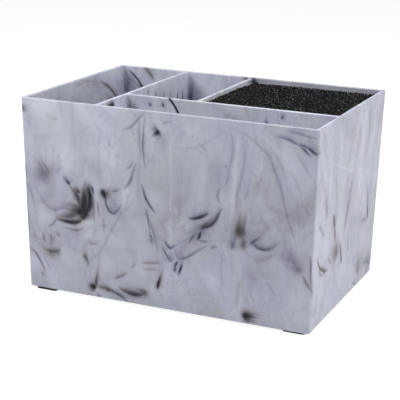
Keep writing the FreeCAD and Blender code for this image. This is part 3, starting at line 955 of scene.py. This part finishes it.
def painted_inner_light(graph, colour, place, inside, front_shading):
    """Painted light: inner faces are painted lighter and less blue, as if lit through the wall,
    except for painted shade on the wall behind the bristles; up-facing faces get a painted highlight
    that grows along x.
    """
    x, y, _ = place
    normal = graph.add("NewGeometry", {}, "Normal")
    upward = graph.fade(graph.split(normal)[2], 0.3, 0.9)
    through = graph.fade(x, -97.3, -94, THROUGH_LEFT_WALL, THROUGH_WALLS)
    # Painted shade on the wall behind the bristles
    behind = graph.math("GREATER_THAN", y, BRISTLE_BAY_Y)
    behind = graph.times(behind, graph.math("GREATER_THAN", x, BRISTLE_BAY_X))
    through = graph.scaled(behind, -THROUGH_WALLS, through)
    gain = graph.scaled(inside, through, front_shading)
    # Painted highlight: up-facing faces a little darker on the left, lighter towards the right
    gain = graph.scaled(upward, graph.fade(x, 8, 98, -0.05, 0.12), gain)
    blue = graph.times(gain, graph.scaled(inside, -BLUE_LOST, 1))
    return graph.vector("MULTIPLY", colour, graph.join(gain, gain, blue))


def veins(graph, position, scale, sharpness, patch_scale, stretch, strength):
    """Soft winding veins along the ridges of a slow noise, strongest in patches."""
    stretched = graph.vector("MULTIPLY", position, (1, 1, stretch))
    field = graph.noise(stretched, scale, detail=1.6, roughness=0.45, distortion=1.1)
    ridge = graph.math("ABSOLUTE", graph.minus(field, 0.5))
    line = graph.math("EXPONENT", graph.times(ridge, -sharpness))
    patch = graph.fade(graph.noise(position, patch_scale), 0.42, 0.66)
    return graph.times(graph.times(line, patch), strength)


def haze(graph, position):
    """Faint veins and streaks of pigment all through the plastic."""
    return strongest(graph, [veins(graph, position, *settings) for settings in VEINS])


def outer_mask(graph, stroke, comet, marks, places, wall):
    """How strongly one pigment's strokes and comets mark the outer walls, painted shade and
    highlight among them.
    """
    *walls, up, height = places
    masks = []
    for (strokes, comets), (place, across, half) in zip(marks, walls):
        mask = stroke_mask(graph, stroke, strokes, across, up, half)
        if comets:
            mask = graph.larger(mask, mark_mask(graph, comet, comets, place, height))
        masks.append(mask)
    mask = graph.add("Mix", {0: wall["on_side"], 2: masks[0], 3: masks[1]})
    return graph.times(mask, wall["outside"], clamp=True)


def pigment_and_light_masks(graph, drift, wall):
    """How strongly mist, milk, soot and ink mark each point; milk also paints a highlight, ink
    painted shade and shadows.
    """
    x, y, z = graph.split(drift)
    height = graph.minus(z, tub_low.z / MM)
    up = graph.over(height, WALL_HEIGHT)
    front = (x, graph.scaled(x, 0.5 / HALF_WIDTH, 0.5), HALF_WIDTH)
    side = (y, graph.scaled(y, 0.5 / HALF_DEPTH, 0.5), HALF_DEPTH)
    places = (front, side, up, height)
    stroke = stroke_group()
    comet = (comet_group(), comet_inputs)
    masks = {}
    for name, marks in OUTER_MARKS.items():
        masks[name] = outer_mask(graph, stroke, comet, marks, places, wall)
    arc = (arc_group(), arc_inputs)
    for name, (comets, arcs) in INNER_MARKS.items():
        on_faces = [inner_mask(graph, comet, comets, wall), inner_mask(graph, arc, arcs, wall)]
        masks[name] = strongest(graph, [masks[name], *on_faces])
    for name in INNER_MARKS:
        masks[name] = uneven(graph, drift, masks[name])
    return masks


def marbled_plastic():
    """Pale lavender-grey plastic with brown-black and blue-black wisps in the melt, and painted
    light and shade.
    """
    graph = material_graph("marbled_plastic")
    position = object_position(graph)
    wall = wall_coordinates(graph, position)
    drift = drifted(graph, position, wall["unseen"])
    marks_and_painted_light = pigment_and_light_masks(graph, drift, wall)
    # Painted shading across the front, and painted light on the inner and up-facing faces
    front_shading = painted_front_shading(graph, wall["place"], wall["on_side"], wall["outside"])
    ground = smoke(graph, drift)
    colour = painted_inner_light(graph, ground, wall["place"], wall["inside"], front_shading)
    colour = graph.mix(graph.times(marks_and_painted_light["milk_and_highlight"], MILK_AND_HIGHLIGHT_SHARE), colour, MILK_AND_HIGHLIGHT + (1,))
    veil = graph.plus(marks_and_painted_light["mist"], haze(graph, drift), clamp=True)
    layers = ((veil, MIST_STOPS), (marks_and_painted_light["soot"], SOOT_STOPS), (marks_and_painted_light["ink_and_shade"], INK_AND_SHADE_STOPS))
    for layer_strength, stops in layers:
        colour = graph.mix(1, colour, graph.ramp(layer_strength, stops), "MULTIPLY")
    bump = graph.bump(graph.noise(position, 0.9), 0.06, 0.4)
    roughness = graph.fade(graph.noise(position, 0.12), 0.3, 0.7, 0.32, 0.42)
    return graph.finish(Base_Color=colour, Roughness=roughness, Normal=bump,
                        Specular_IOR_Level=0.25)


# Dark plastics and rubber

def tray_plastic():
    """Black moulded plastic with a fine spark-eroded grain."""
    graph = material_graph("tray_plastic")
    position = object_position(graph)
    cloud = graph.noise(position, 0.08, detail=3)
    colour = graph.ramp(cloud, [(0.3, (0.016, 0.016, 0.018)), (0.7, (0.026, 0.026, 0.028))])
    grain = graph.noise(position, 2.6, detail=3)
    bump = graph.bump(grain, 0.25, 0.2)
    roughness = graph.fade(grain, 0.3, 0.7, 0.5, 0.62)
    return graph.finish(Base_Color=colour, Roughness=roughness, Normal=bump)


def bristle_plastic():
    """Black nylon filament with painted highlights: pale glints on the tips here and there, and
    sides painted darker than the tips as painted shade.
    """
    graph = material_graph("bristle_filaments")
    position = object_position(graph)
    glint_spots = graph.noise(position, 0.8)
    glinting_tips = graph.ramp(glint_spots, [(0.46, (0.0012, 0.0012, 0.0025)), (0.57, (0.006, 0.006, 0.008)),
                             (0.67, (0.21, 0.208, 0.2))])
    shade = graph.noise(position, 0.5, detail=1)
    side = graph.ramp(shade, [(0.35, (0.0012, 0.0012, 0.0018)), (0.7, (0.005, 0.005, 0.006))])
    normal = graph.add("NewGeometry", {}, "Normal")
    # Painted highlight and shade: up-facing tips take the glints, the sides stay dark
    colour = graph.mix(graph.fade(graph.split(normal)[2], 0.25, 0.85), side, glinting_tips)
    roughness = graph.fade(graph.noise(position, 0.3, detail=1), 0.3, 0.7, 0.35, 0.5)
    scratches = graph.noise(graph.vector("MULTIPLY", position, (3, 3, 0.3)), 1)
    bump = graph.bump(scratches, 0.15, 0.2)
    return graph.finish(Base_Color=colour, Roughness=roughness, Normal=bump, Specular_IOR_Level=0.13)


def foot_rubber():
    """Dark grey rubber, dusty in patches."""
    graph = material_graph("foot_rubber")
    position = object_position(graph)
    dust = graph.noise(position, 0.35, detail=4, roughness=0.6)
    colour = graph.ramp(dust, [(0.35, (0.017, 0.017, 0.019)), (0.75, (0.044, 0.043, 0.044))])
    grain = graph.noise(position, 3)
    bump = graph.bump(grain, 0.3, 0.2)
    roughness = graph.fade(dust, 0.35, 0.75, 0.7, 0.85)
    return graph.finish(Base_Color=colour, Roughness=roughness, Normal=bump)


def dress(node, material):
    """Gives a CAD node's own mesh a finished material."""
    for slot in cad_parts[node].material_slots:
        slot.material = material


# Bristles

# Heights of the bristle mass: it leaves its tray at the collar and flares out above that.
BRISTLE_LOW, BRISTLE_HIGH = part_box("bristle_block")
COLLAR_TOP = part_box("bristle_tray")[1].z
ABOVE_COLLAR = COLLAR_TOP + 4 * MM
FLARE_TOP = COLLAR_TOP + 12 * MM
MIDDLE = 60 * MM
OUTER_BENDS = (55 * MM, 90 * MM)
# How far each side lies inside the mass's box at the collar, and where the flare ends
COLLAR_INSET = 3 * MM
WAIST_INSET = 0.3 * MM
RIGHT_INSET = 1.5 * MM
BACK_INSET = 2.5 * MM
# The filaments: the outer rows are drawn whole, the others down to a loose length.
FILAMENT_RADIUS = 0.48 * MM
THINNEST = 0.85
FILAMENT_PITCH = 1.3 * MM
FILAMENT_SIDES = 5
FULL_ROWS = 2
LOOSE_LENGTH = 17 * MM
ROW_SHIFT = 0.25
JITTER = 0.22
# Sideways drifts of the tips: how many waves in a metre, and how far
CLUMPING = (160, 1.6 * MM)
STRAYING = (600, 1.3 * MM)
# How far the tips stand above the mass's box, and what uneven cutting takes off them
TIP_RISE = 1.4 * MM
EDGE_RISE = 0.8 * MM
ROUND_TIP = 0.35 * MM
TIP_SHARE = 0.6
DIP_SCALE = 220
DIP = 0.5 * MM
RANDOM_DIP = 0.45 * MM
# The dark core's size as a share of the mass, and its depth below the mass's top
CORE_SHARE = 0.94
CORE_DEPTH = 12 * MM


def share_between(z, low, high):
    return min(1, max(0, (z - low) / (high - low)))


def mass_section(z):
    """Centre and half sizes of the bristle mass at height z."""
    low, high = BRISTLE_LOW, BRISTLE_HIGH
    narrow = 1 - share_between(z, FLARE_TOP, high.z)
    pinch = COLLAR_INSET * (1 - share_between(z, COLLAR_TOP, FLARE_TOP)) ** 1.5
    x0 = low.x + WAIST_INSET * narrow + pinch
    x1 = high.x - RIGHT_INSET * narrow - pinch
    y0 = low.y + WAIST_INSET * narrow + pinch
    y1 = high.y - BACK_INSET * narrow - pinch
    return (x0 + x1) / 2, (y0 + y1) / 2, (x1 - x0) / 2, (y1 - y0) / 2


def lean_at(x, y, scale, reach):
    """A smooth sideways drift of the filament tips, so that they gather in clumps."""
    place = Vector((x * scale, y * scale, 0))
    return reach * noise.noise(place), reach * noise.noise(place + Vector((31, 17, 5)))


def filament_centre(u, v, lean, z, top):
    """A filament's centre at height z; u and v are its place in the mass, from -1 to 1."""
    cx, cy, hx, hy = mass_section(z)
    share = max(0, (z - COLLAR_TOP) / (top - COLLAR_TOP)) ** 2
    x = cx + u * (hx - FILAMENT_RADIUS) + lean[0] * share
    y = cy + v * (hy - FILAMENT_RADIUS) + lean[1] * share
    x = min(max(x, cx - hx + FILAMENT_RADIUS), cx + hx - FILAMENT_RADIUS)
    y = min(max(y, cy - hy + FILAMENT_RADIUS), cy + hy - FILAMENT_RADIUS)
    return x, y


def tube_faces(start, rings, sides):
    """The faces of a tube whose rings of vertices follow one another, with its top."""
    faces = []
    for base in range(start, start + (rings - 1) * sides, sides):
        for k in range(sides):
            after = (k + 1) % sides
            faces.append((base + k, base + after, base + sides + after, base + sides + k))
    top = start + (rings - 1) * sides
    return [*faces, tuple(range(top, top + sides))]


def add_filament(vertices, faces, u, v, lean, heights, turn, radius):
    """One filament: a tube through the heights, with a rounded tip."""
    faces += tube_faces(len(vertices), len(heights), FILAMENT_SIDES)
    top = heights[-1]
    for z in heights:
        x, y = filament_centre(u, v, lean, z, top)
        size = radius * (TIP_SHARE if z == top else 1)
        for k in range(FILAMENT_SIDES):
            angle = turn + math.tau * k / FILAMENT_SIDES
            vertices.append((x + size * math.cos(angle), y + size * math.sin(angle), z))


def tip_height(x, y, u, v, chance):
    """Where a filament is cut: unevenly, but higher along the short divider, from which the rise
    fades out over a quarter of the width, and turns into a dip towards the back."""
    dip = DIP * abs(noise.noise(Vector((x * DIP_SCALE, y * DIP_SCALE, 3))))
    top = BRISTLE_HIGH.z + TIP_RISE - dip - RANDOM_DIP * chance.random() ** 2
    near_divider = max(0, -1 - 2 * u)
    off_corner = 1 - 2.5 * max(0, v - 0.4)
    return top + EDGE_RISE * near_divider * off_corner


def filament_places(chance, columns, rows):
    """Each filament's column and row, and its place in the mass, from -1 to 1 both ways."""
    for row in range(rows):
        for column in range(columns):
            shift = ROW_SHIFT if row % 2 else -ROW_SHIFT
            u = 2 * (column + shift + chance.uniform(-JITTER, JITTER)) / (columns - 1) - 1
            v = 2 * (row + chance.uniform(-JITTER, JITTER)) / (rows - 1) - 1
            yield column, row, min(max(u, -1), 1), min(max(v, -1), 1)


def bristles():
    """The mass of filaments: the outer rows are whole, the inner ones show only their tips."""
    chance = random.Random(SEED)
    _, _, hx, hy = mass_section(BRISTLE_HIGH.z)
    columns = round(2 * hx / FILAMENT_PITCH)
    rows = round(2 * hy / (FILAMENT_PITCH * math.sqrt(3) / 2))
    vertices = []
    faces = []
    for column, row, u, v in filament_places(chance, columns, rows):
        x, y = u * hx, v * hy
        clump, stray = lean_at(x, y, *CLUMPING), lean_at(x, y, *STRAYING)
        lean = (clump[0] + stray[0], clump[1] + stray[1])
        top = tip_height(x, y, u, v, chance)
        heights = [top - LOOSE_LENGTH, top - ROUND_TIP, top]
        if min(row, rows - 1 - row, column, columns - 1 - column) < FULL_ROWS:
            heights[:1] = [COLLAR_TOP - MM, ABOVE_COLLAR, FLARE_TOP, *OUTER_BENDS]
        radius = FILAMENT_RADIUS * chance.uniform(THINNEST, 1)
        turn = chance.uniform(0, math.tau)
        add_filament(vertices, faces, u, v, lean, heights, turn, radius)
    return new_piece("bristles", vertices, faces)


def bristle_core():
    """The dark inside of the mass, which closes the gaps between the filaments."""
    core_top = BRISTLE_HIGH.z - CORE_DEPTH
    heights = [BRISTLE_LOW.z, COLLAR_TOP, ABOVE_COLLAR, FLARE_TOP, MIDDLE, core_top]
    vertices = []
    for z in heights:
        cx, cy, hx, hy = mass_section(z)
        for sx, sy in ((-1, -1), (1, -1), (1, 1), (-1, 1)):
            vertices.append((cx + sx * hx * CORE_SHARE, cy + sy * hy * CORE_SHARE, z))
    faces = [(3, 2, 1, 0), *tube_faces(0, len(heights), 4)]
    return new_piece("bristle_core", vertices, faces)


def place_object(name, data):
    """A new object with this data, in the scene."""
    thing = bpy.data.objects.new(name, data)
    bpy.context.scene.collection.objects.link(thing)
    return thing


def new_piece(name, vertices, faces):
    mesh = bpy.data.meshes.new(name)
    mesh.from_pydata(vertices, [], faces)
    mesh.validate()
    return place_object(name, mesh)


def make_bristles():
    material = bristle_plastic()
    filaments = bristles()
    for face in filaments.data.polygons:
        face.use_smooth = True
    for piece in (filaments, bristle_core()):
        piece.data.materials.append(material)
        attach(piece, "bristle_insert")
    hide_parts("bristle_block")


# Studio

FLOOR_SIZE = 8
FLOOR_GLOW = 0.9
FLOOR_COLOUR = 0.2
WORLD_LIGHT = 0.25
# Each lamp's place, the point that it faces, its size and its power
LAMPS = {
    "left_key": ((-0.55, -0.62, 0.7), (-0.05, -0.02, 0.07), 0.35, 5.4),
    "right_fill": ((1, -0.1, 0.45), (0.08, 0, 0.06), 0.7, 5.4),
    "top_fill": ((0, 0.1, 1.2), (0, 0, 0.1), 0.8, 11),
}
# The photograph's viewpoint, with the camera's angles in degrees
CAMERA_PLACE = (0.3093, -0.7262, 0.2831)
CAMERA_ANGLES = (74.0253, -1.1695, 23.7179)
LENS = 109.75


def white_to_the_eye(name, glow, colour):
    """A surface that looks white to the camera and in reflections, but still takes a shadow."""
    graph = material_graph(name)
    path = graph.add("LightPath", {}).node.outputs
    rays = ("Is Camera Ray", "Is Glossy Ray", "Is Transmission Ray")
    seen = strongest(graph, [path[ray] for ray in rays])
    plain = graph.add("BsdfDiffuse", {"Color": (0.8, 0.8, 0.8, 1)})
    lit = graph.add("BsdfDiffuse", {"Color": (colour, colour, colour, 1)})
    glowing = graph.add("Emission", {"Color": (1, 1, 1, 1), "Strength": glow})
    shown = graph.add("AddShader", {0: lit, 1: glowing})
    graph.add_output(graph.add("MixShader", {0: seen, 1: plain, 2: shown}))
    return graph.owner


def make_floor():
    half = FLOOR_SIZE / 2
    corners = [(-half, -half, 0), (half, -half, 0), (half, half, 0), (-half, half, 0)]
    floor = new_piece("floor", corners, [(0, 1, 2, 3)])
    floor.data.materials.append(white_to_the_eye("floor", FLOOR_GLOW, FLOOR_COLOUR))


def make_world():
    """White to the camera, and a plain even light for everything else."""
    world = bpy.data.worlds.new("studio")
    bpy.context.scene.world = world
    graph = Graph(world)
    path = graph.add("LightPath", {}).node.outputs
    seen = graph.larger(path["Is Camera Ray"], path["Is Transmission Ray"])
    light = graph.add("MapRange", {"Value": seen, "To Min": WORLD_LIGHT, "To Max": 1})
    graph.add_output(graph.add("Background", {"Strength": light}), "World")


def make_lamp(name, place, target, size, power):
    """A soft square lamp that faces the target."""
    data = bpy.data.lights.new(name, "AREA")
    data.size = size
    data.energy = power
    lamp = place_object(name, data)
    lamp.location = place
    lamp.rotation_euler = (Vector(target) - Vector(place)).to_track_quat("-Z", "Y").to_euler()


def make_camera():
    """The photograph's own viewpoint, a little right of the front and 16 degrees above it."""
    data = bpy.data.cameras.new("camera")
    data.sensor_width = 36
    data.lens = LENS
    data.clip_start = 0.01
    data.clip_end = 50
    camera = place_object("camera", data)
    camera.location = CAMERA_PLACE
    camera.rotation_euler = [math.radians(angle) for angle in CAMERA_ANGLES]
    bpy.context.scene.camera = camera


def main():
    dress("tub", marbled_plastic())
    dress("bristle_tray", tray_plastic())
    rubber = foot_rubber()
    for corner in ("front_left", "front_right", "back_left", "back_right"):
        dress(corner + "_foot", rubber)
    make_bristles()
    make_floor()
    make_world()
    for name, settings in LAMPS.items():
        make_lamp(name, *settings)
    make_camera()
    bpy.context.scene.view_settings.view_transform = "Standard"


main()
